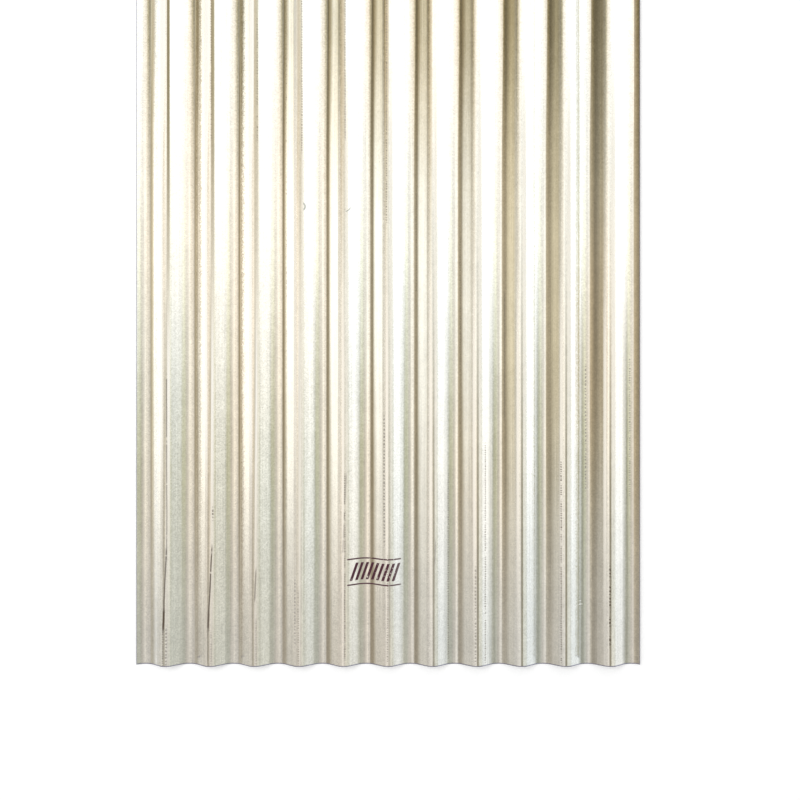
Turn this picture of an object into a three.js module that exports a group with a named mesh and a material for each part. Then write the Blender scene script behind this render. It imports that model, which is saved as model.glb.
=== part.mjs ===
// Corrugated roofing sheet: one thin sheet of zinc-coated steel, rolled into round waves
// along its whole length and lying on its troughs.
//
// Millimetres, +Z up. +X runs across the waves and +Y along them. The origin is under
// the middle of the sheet, on the level that the troughs stand on.
import * as THREE from "three";

// Driving dimensions.
const PITCH = 76.2; // from one crest to the next: the 3 inch roofing wave
const DEPTH = 18; // from the underside of a trough to the top of a crest
const BEND_RADIUS = 20; // of the crest and trough bends, at the middle of the metal
const GAUGE = 0.4; // thickness of the metal
const CREST_COUNT = 11;
const SIDE_LIP = 15; // how far each side edge runs on past the outermost trough
const LENGTH = 2000; // along the waves, between the two sheared ends
const BEND_FACETS = 11; // in each bend; an odd number puts a level one on its middle line

const HALF_PITCH = PITCH / 2;
const WIDTH = CREST_COUNT * PITCH + 2 * SIDE_LIP;

// A crest bend and a trough bend of one radius are joined by a straight flank that is
// tangent to both. At the largest radius that fits, nothing is left of the flank.
const MID_RISE = DEPTH - GAUGE; // between the middles of the metal, trough to crest
const LARGEST_BEND = (HALF_PITCH ** 2 + MID_RISE ** 2) / (4 * MID_RISE);
const BEND = Math.min(BEND_RADIUS, LARGEST_BEND);
const CENTRES_RISE = 2 * BEND - MID_RISE; // a trough's bend centre over a crest's
const CENTRES_APART = Math.hypot(HALF_PITCH, CENTRES_RISE);
const FLANK_ANGLE =
  Math.asin(Math.min(1, (2 * BEND) / CENTRES_APART)) - Math.atan2(CENTRES_RISE, HALF_PITCH);

// The facets of a bend are tangent to its arc. They turn by equal steps from one flank
// to the next, so the level facets stand exactly the full depth apart.
const FACET_TURN = (2 * FLANK_ANGLE) / (BEND_FACETS + 1);
const CORNER_STRETCH = 1 / Math.cos(FACET_TURN / 2); // a corner's distance over the radius

// Bends are counted from the outermost trough on the -X side, which is bend 0, so odd
// bends are crests. The section starts before it and ends after the last trough, so
// that both side edges are cut from metal that is already bent.
const LAST_BEND = 2 * CREST_COUNT;
const BENDS_BEYOND = Math.ceil(SIDE_LIP / HALF_PITCH) + 1;

// The corners of one bend, from -X to +X, on the face that lies `offset` over the middle
// of the metal.
function bendCorners(bend, offset) {
  const isCrest = bend % 2 !== 0;
  const up = isCrest ? 1 : -1; // the way from the bend's centre to its metal
  const centre = new THREE.Vector2(
    (bend - CREST_COUNT) * HALF_PITCH,
    isCrest ? DEPTH - GAUGE / 2 - BEND : GAUGE / 2 + BEND,
  );
  const reach = (BEND + up * offset) * CORNER_STRETCH;
  const corners = [];
  for (let corner = 0; corner <= BEND_FACETS; corner++) {
    const angle = (corner + 0.5) * FACET_TURN - FLANK_ANGLE;
    const fromCentre = new THREE.Vector2(Math.sin(angle), up * Math.cos(angle));
    corners.push(centre.clone().addScaledVector(fromCentre, reach));
  }
  return corners;
}

// Ends a row of corners at the two side edges, where the coil was slit.
function slitToWidth(corners) {
  const edgeAt = (x) => {
    const next = corners.findIndex((corner) => corner.x > x);
    const before = corners[next - 1];
    const after = corners[next];
    return before.clone().lerp(after, (x - before.x) / (after.x - before.x));
  };
  const between = corners.filter((corner) => Math.abs(corner.x) < WIDTH / 2);
  return [edgeAt(-WIDTH / 2), ...between, edgeAt(WIDTH / 2)];
}

// One face of the metal, seen from its end, from the -X edge to the +X edge.
function faceOutline(offset) {
  const corners = [];
  for (let bend = -BENDS_BEYOND; bend <= LAST_BEND + BENDS_BEYOND; bend++) {
    corners.push(...bendCorners(bend, offset));
  }
  return slitToWidth(corners);
}

// The closed section: along the underside and back along the upper face.
function sheetSection() {
  const underside = faceOutline(-GAUGE / 2);
  const upperFace = faceOutline(GAUGE / 2);
  return new THREE.Shape([...underside, ...upperFace.reverse()]);
}

// The section is drawn in X and height, drawn out to the length of the sheet, and
// turned so that its height becomes +Z and the waves run along Y.
function corrugatedSheet() {
  const geometry = new THREE.ExtrudeGeometry(sheetSection(), {
    depth: LENGTH,
    bevelEnabled: false,
  });
  geometry.translate(0, 0, -LENGTH / 2);
  geometry.rotateX(Math.PI / 2);
  const zincCoating = new THREE.MeshStandardMaterial({
    color: new THREE.Color(0.72, 0.71, 0.67),
    roughness: 0.38,
    metalness: 1,
  });
  const sheet = new THREE.Mesh(geometry, zincCoating);
  sheet.name = "corrugated_sheet";
  return sheet;
}

const roofingSheet = new THREE.Group();
roofingSheet.add(corrugatedSheet());

export default roofingSheet;
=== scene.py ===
# %% [markdown]
# # A corrugated roofing sheet
#
# The object is one sheet of zinc-coated steel, 0.4 mm thick, that a mill has rolled into
# round waves. It lies on its troughs on a pale floor, and the camera looks straight down
# on its lower end.
#
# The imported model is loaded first. It fixes the frame: metres, +X across the waves, +Y
# along them, +Z up, with the origin under the middle of the sheet.

# %% The frame
import math
from collections import namedtuple

import bmesh
import bpy
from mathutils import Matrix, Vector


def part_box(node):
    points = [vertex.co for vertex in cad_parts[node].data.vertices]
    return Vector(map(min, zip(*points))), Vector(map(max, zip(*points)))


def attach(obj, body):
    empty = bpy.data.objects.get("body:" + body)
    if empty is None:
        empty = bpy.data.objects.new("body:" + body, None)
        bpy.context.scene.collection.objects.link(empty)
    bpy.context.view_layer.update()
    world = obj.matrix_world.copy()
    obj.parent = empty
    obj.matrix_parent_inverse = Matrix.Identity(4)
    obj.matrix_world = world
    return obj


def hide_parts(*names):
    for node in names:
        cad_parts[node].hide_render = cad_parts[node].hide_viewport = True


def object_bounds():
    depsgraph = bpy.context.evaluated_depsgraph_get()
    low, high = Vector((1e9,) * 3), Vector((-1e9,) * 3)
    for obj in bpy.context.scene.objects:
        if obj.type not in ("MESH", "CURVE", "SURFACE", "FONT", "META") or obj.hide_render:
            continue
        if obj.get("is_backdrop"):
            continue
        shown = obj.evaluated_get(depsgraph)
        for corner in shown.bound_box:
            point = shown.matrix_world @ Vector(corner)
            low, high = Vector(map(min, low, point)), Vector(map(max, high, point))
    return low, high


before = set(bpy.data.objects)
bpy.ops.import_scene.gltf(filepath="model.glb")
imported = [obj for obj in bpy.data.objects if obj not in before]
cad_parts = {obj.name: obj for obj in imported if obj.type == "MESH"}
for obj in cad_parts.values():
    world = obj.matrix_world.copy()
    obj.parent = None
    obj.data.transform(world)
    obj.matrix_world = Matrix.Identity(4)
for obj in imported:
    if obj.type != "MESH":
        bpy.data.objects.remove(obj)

cad_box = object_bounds()
low_corner, high_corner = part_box("corrugated_sheet")
WIDTH = high_corner[0] - low_corner[0]
LENGTH = high_corner[1] - low_corner[1]
DEPTH = high_corner[2] - low_corner[2]
print("sheet", round(WIDTH, 4), "by", round(LENGTH, 4), "by", round(DEPTH, 4), "m")

# %% [markdown]
# ## The wave
#
# Seen from its end, the metal follows a round crest, a straight flank and a round
# trough, and then the same again. The rolls press the troughs a little rounder than the
# crests, and the flank is tangent to both. A sine curve would be easier to write, but
# its crests are sharper than those that forming rolls leave.
#
# All of it is worked out for the middle of the metal, because the thickness comes last
# and grows to both sides. A little of the depth is kept back for the waver that the
# sheet gets later, so that its crests never stand higher than the frame says.

# %% Sizes of the wave
PITCH = 0.0762
CREST_RADIUS = 0.018
TROUGH_RADIUS = 0.025
GAUGE = 0.0004
WAVER = 0.0005

CREST_COUNT = int(WIDTH // PITCH)
HALF_PITCH = PITCH / 2
SIDE_LIP = (WIDTH - CREST_COUNT * PITCH) / 2

mid_rise = DEPTH - WAVER - GAUGE
both_radii = CREST_RADIUS + TROUGH_RADIUS
centres_rise = both_radii - mid_rise
centres_apart = math.hypot(HALF_PITCH, centres_rise)
flank_angle = math.asin(both_radii / centres_apart) - math.atan2(centres_rise, HALF_PITCH)
bends_across = both_radii * math.sin(flank_angle)
bends_down = both_radii * (1 - math.cos(flank_angle))

trough_level = WAVER + GAUGE / 2
crest_level = trough_level + mid_rise
print(CREST_COUNT, "crests, flanks at", round(math.degrees(flank_angle), 1), "degrees")

# %% [markdown]
# ## Rolling one wave
#
# Only half a wave is drawn. It starts as one straight edge along the top of a crest. A
# spin about the crest's own centre line makes the round crest, an extrusion makes the
# flank, and a second spin, the other way about the trough's centre line, makes half of
# the trough. The edge is divided along its length before it is spun, so that every face
# is a small square-cornered one that can be bent a little afterwards.

# %% Helpers for edit mode
def deselect_everything():
    bpy.ops.object.select_all(action="DESELECT")


def select_vertices(piece, wanted):
    """In edit mode, selects the vertices whose place passes the test, and counts them."""
    mesh = bmesh.from_edit_mesh(piece.data)
    for vertex in mesh.verts:
        vertex.select_set(wanted(vertex.co))
    mesh.select_flush_mode()
    bmesh.update_edit_mesh(piece.data)
    return sum(vertex.select for vertex in mesh.verts)


def apply_modifier(piece, modifier):
    bpy.context.view_layer.objects.active = piece
    bpy.ops.object.modifier_apply(modifier=modifier.name)


# %% Half a wave
ROWS = 100
BEND_STEPS = 7
FLANK_STEPS = 2
HAIR = 1e-5

deselect_everything()
bpy.ops.mesh.primitive_plane_add(size=LENGTH, location=(LENGTH / 2, 0, crest_level))
sheet = bpy.context.object
sheet.name = "rolled_sheet"
bpy.ops.object.transform_apply(location=True, rotation=True, scale=True)

bpy.ops.object.mode_set(mode="EDIT")
bpy.ops.mesh.select_mode(type="VERT")
select_vertices(sheet, lambda place: place.x > HAIR)
bpy.ops.mesh.delete(type="VERT")
bpy.ops.mesh.select_all(action="SELECT")
bpy.ops.mesh.subdivide(number_cuts=ROWS - 1)

crest_centre = (0, 0, crest_level - CREST_RADIUS)
bpy.ops.mesh.spin(steps=BEND_STEPS, angle=-flank_angle, center=crest_centre, axis=(0, 1, 0))
flank_step = (
    (HALF_PITCH - bends_across) / FLANK_STEPS,
    0,
    -(mid_rise - bends_down) / FLANK_STEPS,
)
for _ in range(FLANK_STEPS):
    bpy.ops.mesh.extrude_region_move(TRANSFORM_OT_translate={"value": flank_step})
trough_centre = (HALF_PITCH, 0, trough_level + TROUGH_RADIUS)
bpy.ops.mesh.spin(steps=BEND_STEPS, angle=flank_angle, center=trough_centre, axis=(0, 1, 0))
bpy.ops.object.mode_set(mode="OBJECT")
print("half a wave:", len(sheet.data.polygons), "faces, ends at x =",
      round(max(v.co.x for v in sheet.data.vertices), 5))

# %% [markdown]
# ## From one wave to the whole width
#
# A mirror makes the half wave whole, from one trough to the next, and an array sets the
# waves side by side. Both merge the vertices where the copies meet, so the result is one
# unbroken skin. The array grows towards +X only, so the skin is moved back to the middle.

# %% All the waves
mirror = sheet.modifiers.new("other_half", "MIRROR")
mirror.use_clip = True
mirror.merge_threshold = HAIR
apply_modifier(sheet, mirror)

waves = sheet.modifiers.new("waves", "ARRAY")
waves.count = CREST_COUNT
waves.use_relative_offset = False
waves.use_constant_offset = True
waves.constant_offset_displace = (PITCH, 0, 0)
waves.use_merge_vertices = True
waves.merge_threshold = HAIR
apply_modifier(sheet, waves)

bpy.ops.object.mode_set(mode="EDIT")
bpy.ops.mesh.select_all(action="SELECT")
bpy.ops.transform.translate(value=(-(CREST_COUNT - 1) * HALF_PITCH, 0, 0))
bpy.ops.object.mode_set(mode="OBJECT")
print("all waves:", len(sheet.data.polygons), "faces,",
      round(sheet.dimensions.x, 4), "m across")

# %% [markdown]
# ## The side edges
#
# The coil is slit to a width that is a little more than a whole number of waves, so each
# side edge runs on past the outermost trough and climbs the start of another flank. The
# edge is spun on about the centre line of that trough, until it has the flank's angle,
# and is then extruded straight. It stops where the outer corner of the metal, and not
# its middle, reaches the full width.

# %% Two side lips
outer_trough = CREST_COUNT * HALF_PITCH
lip_bend = TROUGH_RADIUS * math.sin(flank_angle)
lip_run = SIDE_LIP - lip_bend - GAUGE / 2 * math.sin(flank_angle)
bpy.ops.object.mode_set(mode="EDIT")
for side in (-1, 1):
    found = select_vertices(sheet, lambda place: place.x * side > outer_trough - HAIR)
    bpy.ops.mesh.spin(
        steps=BEND_STEPS,
        angle=side * flank_angle,
        center=(side * outer_trough, 0, trough_level + TROUGH_RADIUS),
        axis=(0, 1, 0),
    )
    climb = (side * lip_run, 0, lip_run * math.tan(flank_angle))
    bpy.ops.mesh.extrude_region_move(TRANSFORM_OT_translate={"value": climb})
    print("lip made from", found, "vertices")
bpy.ops.mesh.select_all(action="SELECT")
bpy.ops.mesh.remove_doubles(threshold=HAIR)
bpy.ops.mesh.normals_make_consistent(inside=False)
bpy.ops.object.mode_set(mode="OBJECT")
upward = sum(face.normal.z for face in sheet.data.polygons)
if upward < 0:
    sheet.data.flip_normals()
print("skin faces up:", upward > 0, "and is", round(sheet.dimensions.x, 4), "m across")

# %% [markdown]
# ## Waver
#
# Thin metal never comes off the rolls quite even. Each crest rises and sinks by a few
# tenths of a millimetre over a hand's width, too little to see in the outline, but a
# long reflection shows it at once. Two Displace modifiers with soft cloud textures do
# that, one broad and one short. Their middle level is 1, so they only ever push down.

# %% Soft unevenness
def waver(piece, name, size, depth):
    clouds = bpy.data.textures.new(name, "CLOUDS")
    clouds.noise_scale = size
    clouds.noise_depth = 1
    push = piece.modifiers.new(name, "DISPLACE")
    push.texture = clouds
    push.texture_coords = "LOCAL"
    push.direction = "Z"
    push.mid_level = 1.0
    push.strength = depth
    apply_modifier(piece, push)


waver(sheet, "broad_waver", size=0.30, depth=WAVER * 0.6)
waver(sheet, "short_waver", size=0.09, depth=WAVER * 0.4)
heights = [vertex.co.z for vertex in sheet.data.vertices]
print("skin lies between", round(min(heights) * 1000, 2), "and", round(max(heights) * 1000, 2), "mm")

# %% [markdown]
# ## Thickness
#
# Solidify turns the skin into metal. It grows half a gauge to each side, with even
# offset on, so that the bends are as thick as the flanks, and closes the rim with the
# sheared faces of the ends and sides. Shading is smooth except at the rim, which stays a
# crisp cut edge.

# %% Metal
metal = sheet.modifiers.new("gauge", "SOLIDIFY")
metal.thickness = GAUGE
metal.offset = 0
metal.use_even_offset = True
apply_modifier(sheet, metal)
deselect_everything()
sheet.select_set(True)
bpy.context.view_layer.objects.active = sheet
bpy.ops.object.shade_smooth_by_angle(angle=math.radians(35))
print("sheet:", 2 * len(sheet.data.polygons), "triangles")

# %% [markdown]
# ## Zinc
#
# The coil was dipped in molten zinc before it was rolled, so what shows is bare metal and
# not a paint: a metallic shader, pale and slightly warm. No part of it is quite even. The
# zinc froze in small crystals, the rolls drew fine lines along the waves, and the tone
# drifts a little across the width. Image textures could hold all that, but node patterns
# stay sharp at any distance and have no seam.
#
# Every pattern reads Object coordinates, in metres, so that it has its real size and
# stays where it is from every side. A small helper class keeps the cells short: each
# call adds one node and hands back its output.

# %% A helper for shader nodes
class Recipe:
    """Adds nodes to one node tree and hands back the sockets that they give."""

    def __init__(self, tree):
        self.tree = tree

    def add(self, kind, inputs, **settings):
        node = self.tree.nodes.new(kind)
        for name, value in settings.items():
            setattr(node, name, value)
        for name, value in inputs.items():
            if isinstance(value, bpy.types.NodeSocket):
                self.tree.links.new(value, node.inputs[name])
            else:
                node.inputs[name].default_value = value
        return node

    def math(self, operation, *values):
        inputs = dict(enumerate(values))
        return self.add("ShaderNodeMath", inputs, operation=operation).outputs[0]

    def product(self, first, *others):
        """All the values multiplied together."""
        for other in others:
            first = self.math("MULTIPLY", first, other)
        return first

    def vector(self, operation, *values):
        inputs = dict(enumerate(values))
        return self.add("ShaderNodeVectorMath", inputs, operation=operation).outputs[0]

    def ramp(self, value, low, high, start=0.0, end=1.0, kind="SMOOTHSTEP"):
        """Goes from start, at or below low, to end, at or above high."""
        limits = {"From Min": low, "From Max": high, "To Min": start, "To Max": end}
        inputs = {"Value": value, **limits}
        return self.add("ShaderNodeMapRange", inputs, interpolation_type=kind).outputs[0]

    def between(self, value, low, high, soft):
        """One from low to high, and zero beyond their soft edges."""
        rise = self.ramp(value, low - soft, low + soft)
        return self.product(rise, self.ramp(value, high - soft, high + soft, 1.0, 0.0))

    def noise(self, place, scale, stretch=(1, 1, 1), detail=2.0, roughness=0.5):
        """Soft noise from 0 to 1. A stretch below 1 draws the pattern out along that axis."""
        drawn = self.vector("MULTIPLY", place, stretch)
        inputs = {"Vector": drawn, "Scale": scale, "Detail": detail, "Roughness": roughness}
        return self.add("ShaderNodeTexNoise", inputs).outputs["Fac"]

    def mix(self, factor, first, second):
        """A colour between two, which may be sockets or plain red, green, blue values."""
        first = first if isinstance(first, bpy.types.NodeSocket) else (*first, 1)
        second = second if isinstance(second, bpy.types.NodeSocket) else (*second, 1)
        inputs = {0: factor, 6: first, 7: second}
        return self.add("ShaderNodeMix", inputs, data_type="RGBA").outputs[2]


# %% Places on the sheet
MM = 0.001

zinc = bpy.data.materials.new("zinc_coating")
zinc.use_nodes = True
recipe = Recipe(zinc.node_tree)
shader = zinc.node_tree.nodes["Principled BSDF"]

coordinates = recipe.add("ShaderNodeTexCoord", {}).outputs
place = coordinates["Object"]
axes = recipe.add("ShaderNodeSeparateXYZ", {0: place}).outputs
across, from_middle = axes["X"], axes["Y"]
from_end = recipe.math("ADD", from_middle, LENGTH / 2)
facing = recipe.add("ShaderNodeSeparateXYZ", {0: coordinates["Normal"]}).outputs
top_face = recipe.math("GREATER_THAN", facing["Z"], 0.0)

waves_across = recipe.math("DIVIDE", across, PITCH)
crest_number = recipe.math("FLOOR", recipe.math("ADD", waves_across, 0.5))
from_crest = recipe.math("MULTIPLY_ADD", crest_number, -PITCH, across)
print("places: across, from the end, and from the nearest crest")

# %% [markdown]
# ### Crystals and rolling lines
#
# On this thin coating the crystals are only about 2 mm across. Each is a shade lighter
# or darker than the next and leans a fraction of a degree its own way, which makes the
# metal sparkle where a reflection changes. A Voronoi texture gives every cell one random
# colour: a part of it sets the tone and all of it sets the lean. The place that it reads
# is shaken by fine noise first, so that the cells lose their straight borders.
#
# Rolling lines are noise drawn out a hundred times along the waves, in a wide and a fine
# size. The faint marks across them, from handling, are noise drawn out the other way.

# %% Crystals
CRYSTALS_PER_METRE = 520
CRYSTAL_SHAKE = 0.0015
CRYSTAL_LEAN = 0.028
HALF = (0.5, 0.5, 0.5)

shake_inputs = {"Vector": place, "Scale": CRYSTALS_PER_METRE, "Detail": 2.0}
shake_noise = recipe.add("ShaderNodeTexNoise", shake_inputs)
shake = recipe.vector("SUBTRACT", shake_noise.outputs["Color"], HALF)
shaken = recipe.vector("ADD", place, recipe.vector("MULTIPLY", shake, (CRYSTAL_SHAKE,) * 3))
crystals = recipe.add("ShaderNodeTexVoronoi", {"Vector": shaken, "Scale": CRYSTALS_PER_METRE})
crystal_colour = crystals.outputs["Color"]
crystal_tone = recipe.add("ShaderNodeSeparateXYZ", {0: crystal_colour}).outputs["X"]
lean = recipe.vector("SUBTRACT", crystal_colour, HALF)
lean = recipe.vector("MULTIPLY", lean, (CRYSTAL_LEAN,) * 3)
true_normal = recipe.add("ShaderNodeNewGeometry", {}).outputs["Normal"]
crystal_normal = recipe.vector("NORMALIZE", recipe.vector("ADD", true_normal, lean))

# %% Lines, wisps and drift
WIDE_LINES_PER_METRE, FINE_LINES_PER_METRE = 260, 900
WISPS_PER_METRE, WISP_PATCHES_PER_METRE = 420, 14
MOTTLE_PER_METRE, DRIFT_PER_METRE = 130, 5

wide_lines = recipe.noise(place, WIDE_LINES_PER_METRE, stretch=(1, 0.012, 1), detail=2)
fine_lines = recipe.noise(place, FINE_LINES_PER_METRE, stretch=(1, 0.006, 1), detail=1)
wisps = recipe.noise(place, WISPS_PER_METRE, stretch=(0.09, 1, 0.09), detail=2)
wisp_patches = recipe.noise(place, WISP_PATCHES_PER_METRE, detail=1)
wisp_patches = recipe.ramp(wisp_patches, 0.46, 0.62)
mottle = recipe.noise(place, MOTTLE_PER_METRE, stretch=(1, 0.6, 1), detail=3, roughness=0.6)
drift = recipe.noise(place, DRIFT_PER_METRE, stretch=(1, 0.25, 1), detail=1)
print("crystals and lines:", len(zinc.node_tree.nodes), "nodes so far")

# %% [markdown]
# ### Tone
#
# The tone starts as a mix of a warm and a cool zinc by the slow drift. It is then
# multiplied by one number near 1, the sum of what the crystals, lines, mottle and wisps
# each add or take away. The first four patterns lie about one half on average, so half of
# their shares is taken off first. The wisps only ever brighten.

# %% Tone of the clean metal
WARM_ZINC = (0.83, 0.80, 0.745)
COOL_ZINC = (0.785, 0.795, 0.775)
DRIFT_RANGE = (0.35, 0.65)
TONE_SHARES = (
    (crystal_tone, 0.15),
    (wide_lines, 0.24),
    (fine_lines, 0.26),
    (mottle, 0.18),
)
WISP_SHARE = 0.07

tone = 1.0 - sum(share for _, share in TONE_SHARES) / 2
for pattern, share in TONE_SHARES:
    tone = recipe.math("MULTIPLY_ADD", pattern, share, tone)
tone = recipe.math("MULTIPLY_ADD", recipe.product(wisps, wisp_patches), WISP_SHARE, tone)
tone_grey = recipe.add("ShaderNodeCombineXYZ", {0: tone, 1: tone, 2: tone}).outputs[0]
clean_colour = recipe.mix(recipe.ramp(drift, *DRIFT_RANGE), WARM_ZINC, COOL_ZINC)
clean_colour = recipe.vector("MULTIPLY", clean_colour, tone_grey)
print("clean metal:", len(TONE_SHARES) + 1, "patterns in its tone")

# %% [markdown]
# ### Painted reflections and shade on the waves, and what the stack leaves
#
# Some marks are alike on every wave, and all of them are made in one way. A mark fades in
# and out across the wave, along the sheet and from wave to wave, and its strength is the
# product of those fades. Each fade is four numbers: where it starts, where it ends, and
# its value at both. The distance along the sheet is in metres from the near end. The
# distance beside a crest is in millimetres, and the waves are numbered from the middle
# one, which is 0.
#
# Most lines drift by a part of a millimetre, or one or two, from each wave to the next,
# following where the painted reflections and shade fall across the sheet.

# %% Fades and places of lines
def by_crest(*fade):
    """A fade from wave to wave."""
    return recipe.ramp(crest_number, *fade)


def by_distance(*fade):
    """A fade along the sheet."""
    return recipe.ramp(from_end, *fade)


def beside_crest(start, end, at_start=0.0, at_end=1.0):
    """A fade across one wave."""
    return recipe.ramp(from_crest, start * MM, end * MM, at_start, at_end)


def drifting_place(at_middle, drift):
    """Where a line lies beside the crests, when it drifts from one wave to the next."""
    return recipe.math("MULTIPLY_ADD", crest_number, drift * MM, at_middle * MM)


def line_at(line_place, core, edge, strength, spread=None):
    """A line of full strength out to its core, fading to nothing at its edge."""
    aside = recipe.math("ABSOLUTE", recipe.math("SUBTRACT", from_crest, line_place))
    if spread is not None:
        aside = recipe.math("DIVIDE", aside, spread)
    return recipe.ramp(aside, core * MM, edge * MM, strength, 0.0)


def what_is_left(loss):
    return recipe.math("SUBTRACT", 1.0, loss)


def nodes_so_far():
    return len(zinc.node_tree.nodes)


# %% [markdown]
# A painted dark reflection, slightly brown, lies at the foot of each left flank, where the
# metal mirrors a dark part of the room. It starts sharply and ends softly, up the flank. The
# soft side is tighter in the middle of the sheet than at its two ends, and tighter on the
# left-hand waves than on the right-hand ones. Near the sheet's end the line is weaker, most of all
# on the outer waves.

# %% Painted reflections at the left feet
FOOT_AT_MIDDLE, FOOT_DRIFT = -28.4, -0.35
FOOT_MOVES_UP = (0.85, 1.15, 0.0, 2.5 * MM)
FOOT_STARTS, FOOT_FULL = -3.9 * MM, -1.4 * MM
FOOT_SOFT_SIDE = (1.0 * MM, 7.5 * MM, 0.95, 0.0)
TIGHTER_INLAND = (0.30, 0.60, 0.76, 1.04)
LOOSER_FAR = (0.85, 1.10, 1.0, 0.75)
TIGHTER_ON_LEFT = (-4, -1, 1.2, 1.0)
LOOSER_ON_RIGHT = (1, 4, 1.0, 0.72)
NEAR_END = (0.0, 0.45, 1.0, 0.0)
LOST_NEAR_END = (0, 4, 0.10, 0.50)

foot_place = drifting_place(FOOT_AT_MIDDLE, FOOT_DRIFT)
foot_place = recipe.math("ADD", foot_place, by_distance(*FOOT_MOVES_UP))
past_foot = recipe.math("SUBTRACT", from_crest, foot_place)
up_the_flank = recipe.product(
    past_foot,
    by_distance(*TIGHTER_INLAND),
    by_distance(*LOOSER_FAR),
    by_crest(*TIGHTER_ON_LEFT),
    by_crest(*LOOSER_ON_RIGHT),
)
crests_aside = recipe.math("ABSOLUTE", crest_number)
near_loss = recipe.product(by_distance(*NEAR_END), recipe.ramp(crests_aside, *LOST_NEAR_END))
# Painted dark reflection, in brown, at the foot of every left flank.
painted_foot_reflection = recipe.product(
    recipe.ramp(past_foot, FOOT_STARTS, FOOT_FULL),
    recipe.ramp(up_the_flank, *FOOT_SOFT_SIDE),
    what_is_left(near_loss),
    top_face,
)
print("left foot lines,", nodes_so_far(), "nodes so far")

# %% [markdown]
# The foot of the right flank has a fainter grey band of painted shade on the near half of the
# sheet. It runs through the trough to the start of the next wave, where the next crest's
# number holds, so it is made of two parts. On the right-hand waves it is stronger and
# narrower, starts later, and leaves the trough's own middle bright.

# %% Painted shade at the right feet
RIGHT_FOOT_STRENGTH = 0.32
RIGHT_FOOT_DRIFT = 0.8 * MM
LATER_ON_RIGHT = (1, 4, 0.0, 6 * MM)
RIGHT_FOOT_RISES = (18 * MM, 25 * MM, 0.0, RIGHT_FOOT_STRENGTH)
INTO_TROUGH = (31, 36)
LOST_IN_TROUGH = (1, 4, 0.4, 0.9)
OUT_OF_TROUGH = (-38, -35, RIGHT_FOOT_STRENGTH, 0.0)
LEFT_AFTER_TROUGH = (2, 5, 0.6, 0.1)
NEAR_HALF = (0.45, 0.75, 1.0, 0.0)
STRONGER_ON_RIGHT = (0, 4, 1.0, 2.1)

past_right_foot = recipe.math("MULTIPLY_ADD", crest_number, RIGHT_FOOT_DRIFT, from_crest)
past_right_foot = recipe.math("SUBTRACT", past_right_foot, by_crest(*LATER_ON_RIGHT))
trough_loss = recipe.product(beside_crest(*INTO_TROUGH), by_crest(*LOST_IN_TROUGH))
before_trough = recipe.product(
    recipe.ramp(past_right_foot, *RIGHT_FOOT_RISES),
    what_is_left(trough_loss),
)
after_trough = recipe.product(beside_crest(*OUT_OF_TROUGH), by_crest(*LEFT_AFTER_TROUGH))
# Painted shade at the foot of each right flank and on into the trough.
painted_right_foot_shade = recipe.product(
    recipe.math("ADD", before_trough, after_trough),
    by_distance(*NEAR_HALF),
    by_crest(*STRONGER_ON_RIGHT),
    top_face,
)
print("right foot lines,", nodes_so_far(), "nodes so far")

# %% [markdown]
# A painted dark reflection runs along the far part of the crests, golden brown and darker at
# its core. It is thin and strong on the left-hand waves, and wide and weak on the right-hand
# ones.

# %% The painted reflection along the far crests
CREST_REFLECTION_AT_MIDDLE, CREST_REFLECTION_DRIFT = -3.0, -2.0
CREST_REFLECTION_LIMIT = 5.4 * MM
CREST_REFLECTION_WIDENS = (-5, -2, 0.95, 1.8)
CREST_REFLECTION_WEAKENS = (-5, -2, 1.0, 0.55)
CREST_REFLECTION_WEAKER_ON_RIGHT = (0, 3, 1.0, 0.3)
CREST_REFLECTION_RISES = (0.48, 1.08)
CORE_WEAKENS = (-5, -2, 0.95, 0.40)
CORE_ENDS = (1, 3, 1.0, 0.0)

crest_reflection_place = recipe.math("MINIMUM", drifting_place(CREST_REFLECTION_AT_MIDDLE, CREST_REFLECTION_DRIFT), CREST_REFLECTION_LIMIT)
# Painted dark reflection along the far crests, with a darker core.
painted_crest_reflection = recipe.product(
    line_at(crest_reflection_place, core=1.2, edge=3.2, strength=0.85, spread=by_crest(*CREST_REFLECTION_WIDENS)),
    by_crest(*CREST_REFLECTION_WEAKENS),
    by_crest(*CREST_REFLECTION_WEAKER_ON_RIGHT),
    by_distance(*CREST_REFLECTION_RISES),
    top_face,
)
painted_crest_reflection_core = recipe.product(painted_crest_reflection, by_crest(*CORE_WEAKENS), by_crest(*CORE_ENDS))
print("rubbed line,", nodes_so_far(), "nodes so far")

# %% [markdown]
# Beside it lies a thin line of painted dark reflection on the near part of the right-hand
# waves. The left-hand waves have a fainter one that moves over the crest on its way up the sheet.

# %% The painted dark lines beside the crests
DARK_LINE_AT_MIDDLE, DARK_LINE_DRIFT = 2.6, -0.75
DARK_LINE_FADES = (0.22, 0.80, 1.0, 0.0)
DARK_LINE_ON_RIGHT = (-1, 2, 0.1, 1.0)
LEFT_DARK_LINE_MOVES = (0.10, 0.60, -2.0 * MM, 1.0 * MM)
LEFT_DARK_LINE_FADES = (0.45, 0.75, 1.0, 0.35)
LEFT_DARK_LINE_ENDS = (0.75, 0.90, 1.0, 0.0)
ON_LEFT_WAVES = (-3, -1, 1.0, 0.0)

right_dark_line = recipe.product(
    line_at(drifting_place(DARK_LINE_AT_MIDDLE, DARK_LINE_DRIFT), core=0.5, edge=2.6, strength=0.95),
    by_distance(*DARK_LINE_FADES),
    by_crest(*DARK_LINE_ON_RIGHT),
)
left_dark_line = recipe.product(
    line_at(by_distance(*LEFT_DARK_LINE_MOVES), core=1.0, edge=3.2, strength=0.62),
    by_distance(*LEFT_DARK_LINE_FADES),
    by_distance(*LEFT_DARK_LINE_ENDS),
    by_crest(*ON_LEFT_WAVES),
)
# Painted dark reflection beside the crests.
painted_dark_line = recipe.product(recipe.math("MAXIMUM", right_dark_line, left_dark_line), top_face)
print("seams,", nodes_so_far(), "nodes so far")
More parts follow.
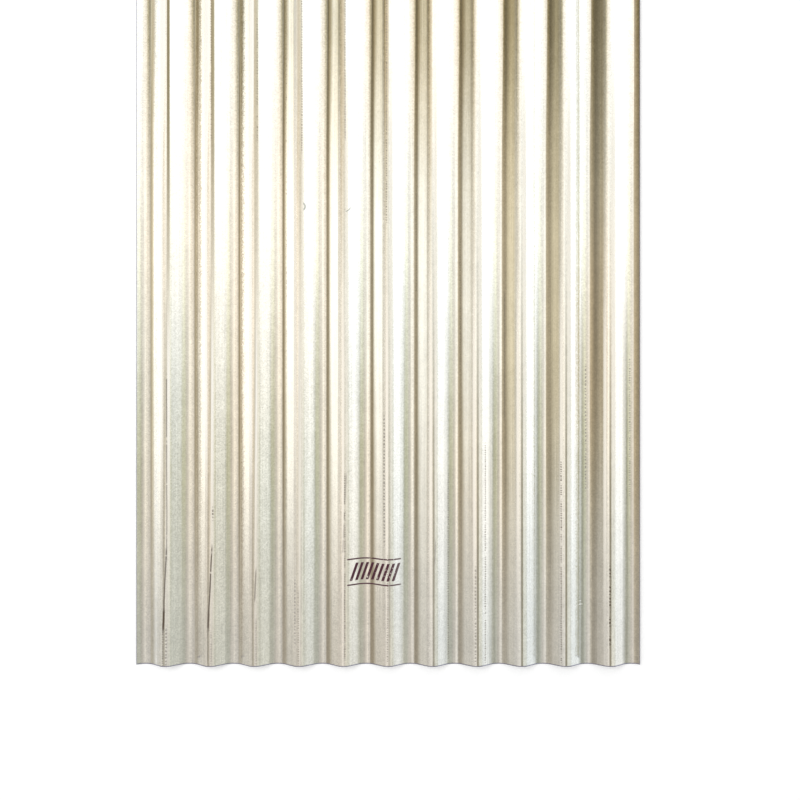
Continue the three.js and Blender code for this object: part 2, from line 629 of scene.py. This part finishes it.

# %% [markdown]
# The left flanks of the last waves on the right, and the right lip, carry a painted
# reflection: golden on one wave, and dark brown on the last ones.

# %% Painted reflections on the right-hand flanks
FLANK_STARTS, FLANK_ENDS = (-31.5, -28), (-14.5, -9.5, 1.0, 0.0)
LIP_STARTS = (-33, -31)
LIP_NUMBER = (5.0, 5.5)
FLANK_REFLECTION_RISES = (3, 4)
FLANK_REFLECTION_DEEPENS = (4, 5, 0.11, 0.90)
FLANK_REFLECTION_PALER_UP = (-27, -14, 1.0, 0.42)
FLANK_REFLECTION_NEAR_END = (0.15, 0.60, 0.35, 1.0)
GOLDEN_REFLECTION_RISES = (2, 3)
GOLDEN_REFLECTION_NEAR_END = (0.20, 0.55, 0.2, 1.0)

lip = recipe.product(by_crest(*LIP_NUMBER), beside_crest(*LIP_STARTS))
left_flank = recipe.product(
    recipe.math("MAXIMUM", lip, beside_crest(*FLANK_STARTS)),
    beside_crest(*FLANK_ENDS),
    top_face,
)
# Painted dark reflection on these flanks, and below it a painted golden one.
painted_flank_reflection = recipe.product(
    left_flank,
    by_crest(*FLANK_REFLECTION_RISES),
    by_crest(*FLANK_REFLECTION_DEEPENS),
    beside_crest(*FLANK_REFLECTION_PALER_UP),
    by_distance(*FLANK_REFLECTION_NEAR_END),
)
painted_golden_reflection = recipe.product(left_flank, by_crest(*GOLDEN_REFLECTION_RISES), by_distance(*GOLDEN_REFLECTION_NEAR_END))
print("tarnished flanks,", nodes_so_far(), "nodes so far")

# %% [markdown]
# The crests carried the sheets above, so the zinc on their shoulders is pale and dull,
# while a narrow strip at the very top is polished. One line along each crest is painted pale
# towards the near end, as a painted highlight. On the left-hand waves that line and the left
# shoulders are painted almost white, a painted highlight as well.

# %% Dull shoulders and a polished strip
CREST_WIDTH = (5 * MM, 10 * MM, 1.0, 0.0)
POLISH_AT_MIDDLE, POLISH_DRIFT = -1.9, -0.5
BLOOM_RISES, BLOOM_FALLS = (0.12, 0.50), (0.85, 1.08)
BLOOM_PATCHES = (0.3, 0.7, 0.45, 0.75)
DULLNESS_LOST_FAR = -0.7

far_end = by_distance(*BLOOM_FALLS)
polish_line = line_at(
    drifting_place(POLISH_AT_MIDDLE, POLISH_DRIFT), core=3.0, edge=6.5, strength=0.95
)
shoulders = recipe.product(
    recipe.ramp(recipe.math("ABSOLUTE", from_crest), *CREST_WIDTH),
    what_is_left(polish_line),
    top_face,
)
bloom_and_highlight = recipe.product(
    shoulders,
    by_distance(*BLOOM_RISES),
    what_is_left(far_end),
    recipe.ramp(mottle, *BLOOM_PATCHES),
)
crest_share = recipe.math("MULTIPLY_ADD", far_end, DULLNESS_LOST_FAR, 1.0)
crest_share = recipe.product(shoulders, crest_share)

# %% Painted highlights: pale lines and white shoulders
PALE_AT_MIDDLE, PALE_DRIFT = -2.0, -1.6
PALE_RISES, PALE_FALLS = (0.0, 0.35, 0.2, 1.0), (0.50, 0.75, 1.0, 0.0)
WHITE_RISES = (0.22, 0.45)
WHITE_STARTS = (-11, -8)
WHITE_ENDS = (-1 * MM, 2 * MM, 0.9, 0.0)
WHITE_NARROWER = (0.80, 1.08, 4.5 * MM, 0.0)

# Painted highlight along each crest, towards the near end.
painted_highlight_line = recipe.product(
    line_at(drifting_place(PALE_AT_MIDDLE, PALE_DRIFT), core=1.2, edge=3.2, strength=0.9),
    by_distance(*PALE_RISES),
    by_distance(*PALE_FALLS),
)
left_waves = recipe.product(by_crest(*ON_LEFT_WAVES), by_distance(*WHITE_RISES))
white_edge = recipe.math("ADD", from_crest, by_distance(*WHITE_NARROWER))
# Painted highlight on the left shoulders of the left-hand waves.
painted_shoulder_highlight = recipe.product(
    left_waves,
    beside_crest(*WHITE_STARTS),
    recipe.ramp(white_edge, *WHITE_ENDS),
)
white_highlight_line = recipe.product(painted_highlight_line, left_waves)
painted_shoulder_highlight = recipe.product(recipe.math("MAXIMUM", painted_shoulder_highlight, white_highlight_line), top_face)
# From here the bloom also holds the painted highlight line.
bloom_and_highlight = recipe.product(recipe.math("MAXIMUM", bloom_and_highlight, painted_highlight_line), top_face)
print("crests,", nodes_so_far(), "nodes so far")

# %% [markdown]
# ### Streaks and rows of dots
#
# Sheets travel in a stack, and each rubs the crests of the one below. That leaves dark
# streaks and rows of small dots along some crests, and a few brown stains where water
# was trapped. One group of nodes for each mark would be plain but slow, because every
# mark would then be worked out everywhere. So the marks lie in layers, and a layer has
# one mark a wave at most. A colour ramp with hard steps is the layer's table: it is read
# by the crest's number, and its red, green, blue and alpha are the mark's place beside
# the crest, its middle and its reach along the sheet, and its strength.
#
# Places, widths and the spacing of dots are in millimetres. A layer may also lean, so that
# its marks leave the line of the wave as they run.

# %% The layers of marks
Mark = namedtuple("Mark", "beside start end strength")
Layer = namedtuple("Layer", "name width dots lean marks")
LAYERS = (
    Layer("streaks", 2.6, 0, 0.045, {
        -5: Mark(-0.6, 60, 205, 0.80),
        -4: Mark(0.5, 62, 205, 0.90),
        -3: Mark(1.9, 112, 165, 0.60),
        -1: Mark(1.6, 190, 330, 0.35),
        1: Mark(4.6, 175, 215, 0.35),
    }),
    Layer("stains", 4.0, 0, 0.045, {
        -5: Mark(-2.7, 60, 100, 1.00),
        -4: Mark(-2.0, 62, 96, 0.85),
    }),
    Layer("thin streaks", 2.0, 0, 0, {
        -5: Mark(2.9, 180, 500, 0.60),
        -4: Mark(-3.4, 4, 70, 0.50),
        3: Mark(-28.0, 420, 640, 0.35),
    }),
    Layer("rows of dots", 2.6, 4.0, 0, {
        -5: Mark(-4.2, 2, 66, 0.80),
        -4: Mark(2.4, 4, 60, 0.60),
        -3: Mark(3.0, 4, 80, 0.55),
        -2: Mark(-1.0, 4, 130, 0.45),
        -1: Mark(2.2, 12, 330, 0.85),
        0: Mark(-0.8, 6, 190, 0.60),
        1: Mark(27.5, 10, 330, 0.50),
        2: Mark(14.4, 6, 380, 0.60),
        4: Mark(-8.6, 6, 350, 0.85),
        5: Mark(36.5, 290, 530, 0.50),
    }),
    Layer("coarse dots", 3.0, 6.0, 0, {
        -5: Mark(1.6, 2, 66, 0.60),
        -4: Mark(5.0, 250, 272, 0.70),
        -2: Mark(-7.0, 35, 150, 0.50),
        0: Mark(-6.6, 205, 430, 0.60),
        2: Mark(-3.0, 4, 170, 0.55),
        4: Mark(36.5, 300, 520, 0.50),
        5: Mark(-1.8, 36, 172, 1.00),
    }),
    Layer("far dots", 2.2, 4.4, 0, {
        -4: Mark(2.4, 900, 1400, 0.45),
        -3: Mark(5.2, 900, 1110, 0.55),
        -2: Mark(5.1, 880, 1200, 0.60),
        -1: Mark(2.8, 900, 1400, 0.65),
        0: Mark(-2.6, 760, 1300, 0.60),
        1: Mark(-27.6, 640, 820, 0.40),
        2: Mark(-28.0, 500, 740, 0.45),
    }),
)
print(sum(len(layer.marks) for layer in LAYERS), "marks in", len(LAYERS), "layers")

# %% [markdown]
# A ramp holds nothing below zero, so the place beside the crest is stored with a fixed
# length added. That length is taken off again when the mark is drawn.

# %% A ramp as a table
SLOTS = CREST_COUNT + 2
FIRST_CREST = -(SLOTS // 2)
KEPT_POSITIVE = 40 * MM
NO_MARK = Mark(0, 0, 0, 0)

crest_slot = recipe.math("MULTIPLY_ADD", crest_number, 1 / SLOTS, (0.5 - FIRST_CREST) / SLOTS)


def table_of_marks(marks):
    """A ramp with one hard step for each crest. It gives the mark's place and strength."""
    node = recipe.add("ShaderNodeValToRGB", {"Fac": crest_slot})
    node.color_ramp.interpolation = "CONSTANT"
    steps = node.color_ramp.elements
    while len(steps) < SLOTS:
        steps.new(0.99)
    for slot in range(SLOTS):
        mark = marks.get(slot + FIRST_CREST, NO_MARK)
        middle, reach = (mark.start + mark.end) / 2 * MM, (mark.end - mark.start) / 2 * MM
        steps[slot].position = slot / SLOTS
        steps[slot].color = (mark.beside * MM + KEPT_POSITIVE, middle, reach, mark.strength)
    numbers = recipe.add("ShaderNodeSeparateColor", {0: node.outputs["Color"]}).outputs
    return numbers["Red"], numbers["Green"], numbers["Blue"], node.outputs["Alpha"]


# %% [markdown]
# No mark is quite straight or whole. One noise makes them wander by a part of a
# millimetre, another leaves gaps in them, and a third makes the beat of the dots uneven.

# %% Drawing the layers
WANDER = 1.6 * MM
WANDERS_PER_METRE, GAPS_PER_METRE, BEATS_PER_METRE = 16, 60, 110
GAP_RANGE = (0.34, 0.46)
UNEVEN_BEAT = 9.0
CORE_SHARE, EDGE_SHARE = 0.25, 0.65
SOFT_ENDS = 8 * MM
DOT_RANGE = (-0.5, 0.4)

wander = recipe.noise(place, WANDERS_PER_METRE, stretch=(0.6, 1, 0.6), detail=2)
wander = recipe.math("MULTIPLY_ADD", wander, WANDER, KEPT_POSITIVE - WANDER / 2)
wandering_place = recipe.math("ADD", from_crest, wander)
gaps = recipe.noise(place, GAPS_PER_METRE, stretch=(0.5, 1, 0.5), detail=3, roughness=0.7)
gaps = recipe.ramp(gaps, *GAP_RANGE)
uneven = recipe.product(recipe.noise(place, BEATS_PER_METRE, detail=2), UNEVEN_BEAT)

marks_total = 0.0
for layer in LAYERS:
    beside, middle, reach, strength = table_of_marks(layer.marks)
    past_middle = recipe.math("SUBTRACT", from_end, middle)
    beside = recipe.math("MULTIPLY_ADD", past_middle, layer.lean, beside)
    aside = recipe.math("ABSOLUTE", recipe.math("SUBTRACT", wandering_place, beside))
    core, edge = layer.width * CORE_SHARE * MM, layer.width * EDGE_SHARE * MM
    beyond = recipe.math("SUBTRACT", recipe.math("ABSOLUTE", past_middle), reach)
    drawn = recipe.product(
        recipe.ramp(aside, core, edge, 1.0, 0.0),
        recipe.ramp(beyond, -SOFT_ENDS, SOFT_ENDS, 1.0, 0.0),
        strength,
    )
    if layer.dots:
        beat = recipe.math("MULTIPLY_ADD", from_end, math.tau / (layer.dots * MM), uneven)
        drawn = recipe.product(drawn, recipe.ramp(recipe.math("SINE", beat), *DOT_RANGE))
    marks_total = recipe.math("MAXIMUM", marks_total, drawn)
marks_total = recipe.product(marks_total, gaps, top_face)
print("marks,", nodes_so_far(), "nodes so far")

# %% [markdown]
# ### Nicks
#
# A few short curved nicks come from the corners of other sheets. Each is part of a
# circle, cut off by straight limits across and along the sheet, all in millimetres.

# %% Nicks
Nick = namedtuple("Nick", "x end radius x_from x_to end_from end_to width")
DARK_NICKS = (
    Nick(-149, 787, 7.0, -145, -130, 780, 794, 2.2),
    Nick(-75, 789, 11.0, -72, -63, 776, 786, 1.2),
)
PALE_NICKS = (
    Nick(331, 82, 22.0, 320, 336, 96, 110, 1.0),
    Nick(329, 88, 22.0, 322, 333, 100, 115, 0.8),
)
NICK_CORE = 0.2
NICK_SOFT = 1.5 * MM


def draw_nicks(nicks):
    total = 0.0
    for nick in nicks:
        x_gap = recipe.math("SUBTRACT", across, nick.x * MM)
        end_gap = recipe.math("SUBTRACT", from_end, nick.end * MM)
        end_square = recipe.product(end_gap, end_gap)
        from_centre = recipe.math("MULTIPLY_ADD", x_gap, x_gap, end_square)
        from_centre = recipe.math("SQRT", from_centre)
        off_circle = recipe.math("SUBTRACT", from_centre, nick.radius * MM)
        off_circle = recipe.math("ABSOLUTE", off_circle)
        width = nick.width * MM
        part = recipe.product(
            recipe.ramp(off_circle, width * NICK_CORE, width, 1.0, 0.0),
            recipe.between(across, nick.x_from * MM, nick.x_to * MM, NICK_SOFT),
            recipe.between(from_end, nick.end_from * MM, nick.end_to * MM, NICK_SOFT),
        )
        total = recipe.math("MAXIMUM", total, part)
    return recipe.product(total, top_face)


dark_nicks = draw_nicks(DARK_NICKS)
pale_nicks = draw_nicks(PALE_NICKS)
print(len(DARK_NICKS), "dark nicks and", len(PALE_NICKS), "pale ones")

# %% [markdown]
# ### Ink
#
# A mill marks its sheets with a quick roller of maroon ink near one end. This part
# carries a plain one: a row of slanted dashes between two thin rules, which says nothing.
# The ink lies thinner where the roller lifted off, on the right, and the zinc shows
# through it in specks.

# %% A plain ink mark
INK_LEFT, INK_RIGHT = -64, 18
DASHES_FROM, DASHES_TO = 146, 176
RULES_AT = (139, 183)
RULE_HALF_WIDTH = 1.2
RULE_FROM, RULE_TO = -70, 22
DASH_EVERY = 9.0
DASH_SLANT = 0.35
DASH_RANGE = (-0.25, 0.1)
SLANT_SHIFT = 55
SOFT_SIDES, SOFT_RULES, SOFT_LIMITS = 0.5 * MM, 0.6 * MM, 0.8 * MM
SPECKLE_SHARE, SPECKLE_RANGE = 0.35, (0.38, 0.52)
LIFT_OFF = (0.0, 26 * MM, 1.0, 0.85)


def strip(value, start, end, soft):
    """One between two places in millimetres."""
    return recipe.between(value, start * MM, end * MM, soft)


slanted = recipe.math("MULTIPLY_ADD", from_end, -DASH_SLANT, across)
dash_beat = recipe.math("SINE", recipe.product(slanted, math.tau / (DASH_EVERY * MM)))
ink = recipe.product(
    recipe.ramp(dash_beat, *DASH_RANGE),
    strip(from_end, DASHES_FROM, DASHES_TO, SOFT_LIMITS),
    strip(slanted, INK_LEFT - SLANT_SHIFT, INK_RIGHT - SLANT_SHIFT, SOFT_SIDES),
)
rule_length = strip(across, RULE_FROM, RULE_TO, SOFT_LIMITS)
for rule in RULES_AT:
    rule_width = strip(from_end, rule - RULE_HALF_WIDTH, rule + RULE_HALF_WIDTH, SOFT_RULES)
    ink = recipe.math("MAXIMUM", ink, recipe.product(rule_width, rule_length))
speckle = recipe.math("MULTIPLY_ADD", crystal_tone, SPECKLE_SHARE, mottle)
speckle = recipe.ramp(speckle, *SPECKLE_RANGE)
ink = recipe.product(ink, speckle, recipe.ramp(across, *LIFT_OFF), top_face)
print("ink,", nodes_so_far(), "nodes so far")

# %% [markdown]
# ### Cut edges
#
# The shear leaves the steel bare, so the rim is darker and bluer than the zinc. The
# colour also runs a millimetre on to the face, as painted shade along the edge.

# %% Cut edges
END_RIM_AND_SHADE = 0.0024
SIDE_RIM_AND_SHADE = 0.0013

to_end = recipe.math("ABSOLUTE", from_middle)
to_side = recipe.math("ABSOLUTE", across)
end_rim_and_shade = recipe.ramp(to_end, LENGTH / 2 - END_RIM_AND_SHADE, LENGTH / 2 - END_RIM_AND_SHADE / 3)
side_rim_and_shade = recipe.ramp(to_side, WIDTH / 2 - SIDE_RIM_AND_SHADE, WIDTH / 2 - SIDE_RIM_AND_SHADE / 3)
# Bare steel on the cut faces, and painted shade on the face next to them.
bare_rim_and_edge_shade = recipe.math("MAXIMUM", end_rim_and_shade, side_rim_and_shade)
print("cut edges,", nodes_so_far(), "nodes so far")

# %% [markdown]
# ### All of it in one shader
#
# The coverings are laid over the clean metal one by one, in the order of the list. Those
# that only tint it, the painted reflections and shade, are its own colour multiplied by a
# tint, so that its grain still shows. The others have a colour of their own.
#
# Dirt and ink hide the metal, so where they lie the metallic value falls and the
# roughness rises, and the pale crests and shoulders are less metallic too. The clean
# metal's own roughness follows the crystals, the mottle and the crests. The bump adds the
# relief that is too fine for the mesh.

# %% Colours of the finished zinc
DIRT = (0.085, 0.058, 0.036)
NICK_GREY = (0.36, 0.38, 0.36)
SCRATCHED = (0.93, 0.93, 0.92)
INK_MAROON = (0.055, 0.002, 0.018)
# Bare steel, and painted shade along the cut edges.
BARE_STEEL_AND_EDGE_SHADE = (0.26, 0.26, 0.35)
# Pale dull bloom, and the painted highlight line along the crests.
BLOOM_AND_HIGHLIGHT_PALE = (0.92, 0.86, 0.75)
# Painted highlight on the left shoulders.
SHOULDER_HIGHLIGHT_WHITE = (0.98, 0.95, 0.88)
# Darker core of the painted reflection on the far crests.
CREST_REFLECTION_OLIVE = (0.17, 0.145, 0.085)

# Tints of the clean metal, all of them painted reflections and shade.
GOLDEN_REFLECTION_TINT = (0.99, 0.93, 0.78)
FLANK_REFLECTION_TINT = (0.21, 0.195, 0.175)
FOOT_REFLECTION_BROWN = (0.465, 0.42, 0.325)
CREST_REFLECTION_GOLD = (0.50, 0.405, 0.20)
DARK_LINE_REFLECTION_GREY = (0.44, 0.42, 0.35)
RIGHT_FOOT_SHADE_GREY = (0.46, 0.46, 0.42)


def tinted(tint):
    return recipe.vector("MULTIPLY", clean_colour, tint)


COVERINGS = (
    (painted_golden_reflection, tinted(GOLDEN_REFLECTION_TINT)),
    (bloom_and_highlight, BLOOM_AND_HIGHLIGHT_PALE),
    (painted_flank_reflection, tinted(FLANK_REFLECTION_TINT)),
    (painted_shoulder_highlight, SHOULDER_HIGHLIGHT_WHITE),
    (painted_foot_reflection, tinted(FOOT_REFLECTION_BROWN)),
    (painted_crest_reflection, tinted(CREST_REFLECTION_GOLD)),
    (painted_crest_reflection_core, CREST_REFLECTION_OLIVE),
    (painted_dark_line, tinted(DARK_LINE_REFLECTION_GREY)),
    (painted_right_foot_shade, tinted(RIGHT_FOOT_SHADE_GREY)),
    (dark_nicks, NICK_GREY),
    (pale_nicks, SCRATCHED),
    (marks_total, DIRT),
    (ink, INK_MAROON),
    (bare_rim_and_edge_shade, BARE_STEEL_AND_EDGE_SHADE),
)
colour = clean_colour
for share, covering in COVERINGS:
    colour = recipe.mix(share, colour, covering)
print(len(COVERINGS), "coverings over the clean metal")

# %% Metal, roughness and relief
CLEAN_ROUGHNESS = 0.07
DIRT_COVERS = 0.8
ROUGHNESS_SHARES = (
    (crystal_tone, 0.05),
    (crest_share, 0.40),
    (mottle, 0.06),
)
COVERED_ROUGHNESS, RIM_ROUGHNESS = 0.35, 0.25
HEIGHT_SHARES = (
    (wide_lines, 0.8),
    (fine_lines, 0.35),
    (mottle, 0.7),
)
RELIEF = 0.04 * MM


def weighted_sum(shares, total=0.0):
    for pattern, share in shares:
        total = recipe.math("MULTIPLY_ADD", pattern, share, total)
    return total


covered = recipe.math("MAXIMUM", recipe.product(marks_total, DIRT_COVERS), ink)
dull = recipe.math("MAXIMUM", covered, recipe.math("MAXIMUM", bloom_and_highlight, painted_shoulder_highlight))
metallic = what_is_left(dull)

roughness = weighted_sum(ROUGHNESS_SHARES, CLEAN_ROUGHNESS)
roughness = weighted_sum(((covered, COVERED_ROUGHNESS), (bare_rim_and_edge_shade, RIM_ROUGHNESS)), roughness)

height = weighted_sum(HEIGHT_SHARES)
relief_inputs = {"Height": height, "Distance": RELIEF, "Strength": 1.0, "Normal": crystal_normal}
relief = recipe.add("ShaderNodeBump", relief_inputs).outputs["Normal"]
print("relief of", RELIEF / MM, "mm")

# %% The finished zinc
links = zinc.node_tree.links
links.new(colour, shader.inputs["Base Color"])
links.new(metallic, shader.inputs["Metallic"])
links.new(roughness, shader.inputs["Roughness"])
links.new(relief, shader.inputs["Normal"])
sheet.data.materials.clear()
sheet.data.materials.append(zinc)
print("zinc:", len(zinc.node_tree.nodes), "nodes")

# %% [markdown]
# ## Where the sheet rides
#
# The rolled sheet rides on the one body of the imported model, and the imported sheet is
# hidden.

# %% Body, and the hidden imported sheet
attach(sheet, "root")
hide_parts("corrugated_sheet")

# %% [markdown]
# ## Floor
#
# The floor is one large pale plane, just under the troughs. It is a stage piece and no
# part of the object. A matt floor under soft light renders a little below white, so for
# the rays that see the floor itself, or see it mirrored in the metal, a little of its own
# light is added. The shadow under the sheet stays.

# %% Floor
FLOOR_SIZE = 30
FLOOR_DROP = 0.0003
FLOOR_COLOUR = (0.93, 0.93, 0.93)
FLOOR_ROUGHNESS = 0.9
FLOOR_SHINE = 0.1
FLOOR_LIFT = 0.12

deselect_everything()
bpy.ops.mesh.primitive_plane_add(size=FLOOR_SIZE, location=(0, 0, -FLOOR_DROP))
floor = bpy.context.object
floor.name = "floor"
bpy.ops.object.transform_apply(location=True, rotation=True, scale=True)

floor_paint = bpy.data.materials.new("pale_floor")
floor_paint.use_nodes = True
floor_recipe = Recipe(floor_paint.node_tree)
floor_shader = floor_paint.node_tree.nodes["Principled BSDF"]
floor_shader.inputs["Base Color"].default_value = (*FLOOR_COLOUR, 1)
floor_shader.inputs["Roughness"].default_value = FLOOR_ROUGHNESS
floor_shader.inputs["Specular IOR Level"].default_value = FLOOR_SHINE
floor_shader.inputs["Emission Color"].default_value = (1, 1, 1, 1)

floor_rays = floor_recipe.add("ShaderNodeLightPath", {}).outputs
seen = floor_recipe.math("MAXIMUM", floor_rays["Is Camera Ray"], floor_rays["Is Glossy Ray"])
seen = floor_recipe.math("MAXIMUM", seen, floor_rays["Is Transmission Ray"])
lift = floor_recipe.product(seen, FLOOR_LIFT)
floor_paint.node_tree.links.new(lift, floor_shader.inputs["Emission Strength"])
floor.data.materials.append(floor_paint)
floor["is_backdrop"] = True
print("floor:", FLOOR_SIZE, "m across")

# %% [markdown]
# ## Light
#
# Bare metal shows little of its own colour. It shows the room. A plain bright room would
# turn the waves flat, so the studio has the parts that a photographer uses for metal:
# white walls low on both sides, a dark gap between the left wall and the soft light
# overhead, and a broad soft light on the right. All of it is dimmer towards the sheet's
# near end, which makes the long fade along the waves.
#
# A wall and a light could each be an object, but then they would stand in the view from
# other sides. So they are bands of the world, chosen by the direction that a ray leaves
# in. "Roll" is its angle from straight up towards the right, seen along the waves, and
# "pitch" is its angle towards the far end. Each row of bands holds at one pitch, and the
# light between two rows is a mix of both. Rays that only light the floor and dull dirt
# get one plain level instead.

# %% Tints of the studio
WHITE = (1.00, 1.00, 0.98)
CREAM = (1.00, 0.96, 0.87)
BROWN = (1.00, 0.88, 0.58)
DUN = (1.00, 0.92, 0.76)
SAND = (1.00, 0.92, 0.68)
UMBER = (1.00, 0.90, 0.66)
OLIVE = (1.00, 0.99, 0.72)
LEAF = (1.00, 1.00, 0.84)
STRAW = (1.00, 0.92, 0.79)
ROSE = (1.00, 0.95, 0.88)
MOSS = (0.99, 1.00, 0.90)
COOL = (0.97, 1.00, 1.00)

# %% Bands of the studio
Band = namedtuple("Band", "roll level tint")
Row = namedtuple("Row", "pitch bands")
ROWS_OF_BANDS = (
    Row(-16, (
        Band(-90, 0.66, CREAM),
        Band(-76, 0.66, CREAM),
        Band(-68, 0.70, CREAM),
        Band(-58, 0.66, ROSE),
        Band(-46, 0.64, ROSE),
        Band(-36, 0.66, ROSE),
        Band(-24, 0.74, ROSE),
        Band(-13, 0.92, ROSE),
        Band(-2, 0.78, ROSE),
        Band(12, 0.66, ROSE),
        Band(28, 0.64, MOSS),
        Band(46, 0.62, MOSS),
        Band(53, 0.64, MOSS),
        Band(59, 0.76, MOSS),
        Band(69, 0.92, COOL),
        Band(80, 1.02, COOL),
        Band(90, 0.98, COOL),
    )),
    Row(-4, (
        Band(-90, 1.45, CREAM),
        Band(-76, 1.38, CREAM),
        Band(-67, 1.10, CREAM),
        Band(-61, 0.80, DUN),
        Band(-55, 0.65, DUN),
        Band(-48, 0.72, STRAW),
        Band(-36, 0.90, STRAW),
        Band(-25, 1.04, STRAW),
        Band(-14, 1.32, STRAW),
        Band(-3, 0.96, STRAW),
        Band(9, 0.74, STRAW),
        Band(24, 0.77, OLIVE),
        Band(46, 0.70, OLIVE),
        Band(52, 0.75, MOSS),
        Band(59, 0.99, MOSS),
        Band(67, 1.28, WHITE),
        Band(90, 1.35, WHITE),
    )),
    Row(12, (
        Band(-90, 1.80, CREAM),
        Band(-76, 1.80, CREAM),
        Band(-67, 1.45, CREAM),
        Band(-61, 0.90, DUN),
        Band(-55, 0.76, DUN),
        Band(-48, 0.87, STRAW),
        Band(-36, 1.06, STRAW),
        Band(-24, 1.20, STRAW),
        Band(-13, 1.40, CREAM),
        Band(4, 1.08, CREAM),
        Band(16, 1.08, CREAM),
        Band(30, 1.34, LEAF),
        Band(52, 1.38, WHITE),
        Band(66, 1.55, WHITE),
        Band(90, 1.50, WHITE),
    )),
    Row(25, (
        Band(-90, 1.60, CREAM),
        Band(-80, 1.50, CREAM),
        Band(-71, 0.90, SAND),
        Band(-63, 0.54, BROWN),
        Band(-57, 0.40, UMBER),
        Band(-49, 0.38, UMBER),
        Band(-42, 0.47, BROWN),
        Band(-34, 0.70, BROWN),
        Band(-23, 1.08, STRAW),
        Band(-12, 1.22, STRAW),
        Band(14, 1.42, WHITE),
        Band(90, 1.50, WHITE),
    )),
)
print(sum(len(row.bands) for row in ROWS_OF_BANDS), "bands in", len(ROWS_OF_BANDS), "rows")


def row_of_light(recipe, roll_share, bands):
    """A colour ramp over the roll angle, from -90 to 90 degrees."""
    node = recipe.add("ShaderNodeValToRGB", {"Fac": roll_share})
    stops = node.color_ramp.elements
    while len(stops) < len(bands):
        stops.new(0.5)
    for stop, band in zip(stops, bands):
        stop.position = (band.roll + 90) / 180
        stop.color = (*(band.level * share for share in band.tint), 1)
    return node.outputs["Color"]


# %% The world
world = bpy.data.worlds.new("studio")
bpy.context.scene.world = world
world.use_nodes = True
sky = Recipe(world.node_tree)
way = sky.vector("NORMALIZE", sky.add("ShaderNodeTexCoord", {}).outputs["Generated"])
way_axes = sky.add("ShaderNodeSeparateXYZ", {0: way}).outputs
roll = sky.math("ARCTAN2", way_axes["X"], way_axes["Z"])
roll_share = sky.ramp(roll, -math.pi / 2, math.pi / 2, kind="LINEAR")
pitch = sky.math("ARCSINE", way_axes["Y"])

studio_colour = row_of_light(sky, roll_share, ROWS_OF_BANDS[0].bands)
for nearer, farther in zip(ROWS_OF_BANDS, ROWS_OF_BANDS[1:]):
    limits = math.radians(nearer.pitch), math.radians(farther.pitch)
    share = sky.ramp(pitch, *limits, kind="LINEAR")
    studio_colour = sky.mix(share, studio_colour, row_of_light(sky, roll_share, farther.bands))

# %% [markdown]
# Just over the floor, all round, the room is plain white, and a few degrees higher the
# white has given way to the bands. The bands show only in mirror reflections. The camera
# itself sees an even pale background behind the floor's far edge, and rays that are not
# seen get a plain level of light.

# %% White walls low down
WALL_DEGREES = (1, 5)
PLAIN_LEVEL = 0.86
BACKGROUND_LEVEL = 0.93

elevation = sky.math("ARCSINE", way_axes["Z"])
wall = sky.ramp(elevation, *map(math.radians, WALL_DEGREES), 1.0, 0.0)
studio_colour = sky.mix(wall, studio_colour, (1.0, 1.0, 1.0))
rays = sky.add("ShaderNodeLightPath", {}).outputs
mirrored = sky.math("MAXIMUM", rays["Is Glossy Ray"], rays["Is Transmission Ray"])
light_colour = sky.mix(mirrored, (PLAIN_LEVEL,) * 3, studio_colour)
light_colour = sky.mix(rays["Is Camera Ray"], light_colour, (BACKGROUND_LEVEL,) * 3)
background = world.node_tree.nodes["Background"]
world.node_tree.links.new(light_colour, background.inputs["Color"])
print("world:", len(world.node_tree.nodes), "nodes")

# %% [markdown]
# One soft lamp high on the left gives the sheet its faint shadow on the floor. It is left
# out of mirror reflections, where the studio's own bands do that work.

# %% A soft lamp
LAMP_PLACE = (-1.6, 0.4, 2.6)
LAMP_TILT = -30
LAMP_SIZE = 1.4
LAMP_WATTS = 24

bpy.ops.object.light_add(type="AREA", location=LAMP_PLACE)
lamp = bpy.context.object
lamp.name = "soft_lamp"
lamp.data.shape = "DISK"
lamp.data.size = LAMP_SIZE
lamp.data.energy = LAMP_WATTS
lamp.rotation_euler = (0, math.radians(LAMP_TILT), 0)
lamp.visible_glossy = False
print("lamp:", LAMP_WATTS, "W")

# %% [markdown]
# ## Camera
#
# The camera hangs 1.4 m above the sheet and looks straight down, a little to the right of
# the middle, so that the far end runs out of the frame.

# %% Camera
CAMERA_PLACE = (0.0204, -0.544, 1.384)
LENS = 36
SENSOR_WIDTH = 36

bpy.ops.object.camera_add(location=CAMERA_PLACE, rotation=(0, 0, 0))
camera = bpy.context.object
camera.name = "camera"
camera.data.lens = LENS
camera.data.sensor_width = SENSOR_WIDTH
bpy.context.scene.camera = camera
bpy.context.scene.view_settings.view_transform = "Standard"
print("camera at", CAMERA_PLACE, "with a lens of", LENS, "mm")

# %% [markdown]
# ## Size
#
# The boxes of the imported model and of the finished sheet are both printed, in millimetres.
# The finished sheet must stay inside the imported model's box.

visual_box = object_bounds()
sizes = {
    "cad": [[float(value) for value in corner] for corner in cad_box],
    "visual": [[float(value) for value in corner] for corner in visual_box],
}
for name, box in sizes.items():
    print(name, "box in mm", [[round(value * 1000, 2) for value in corner] for corner in box])
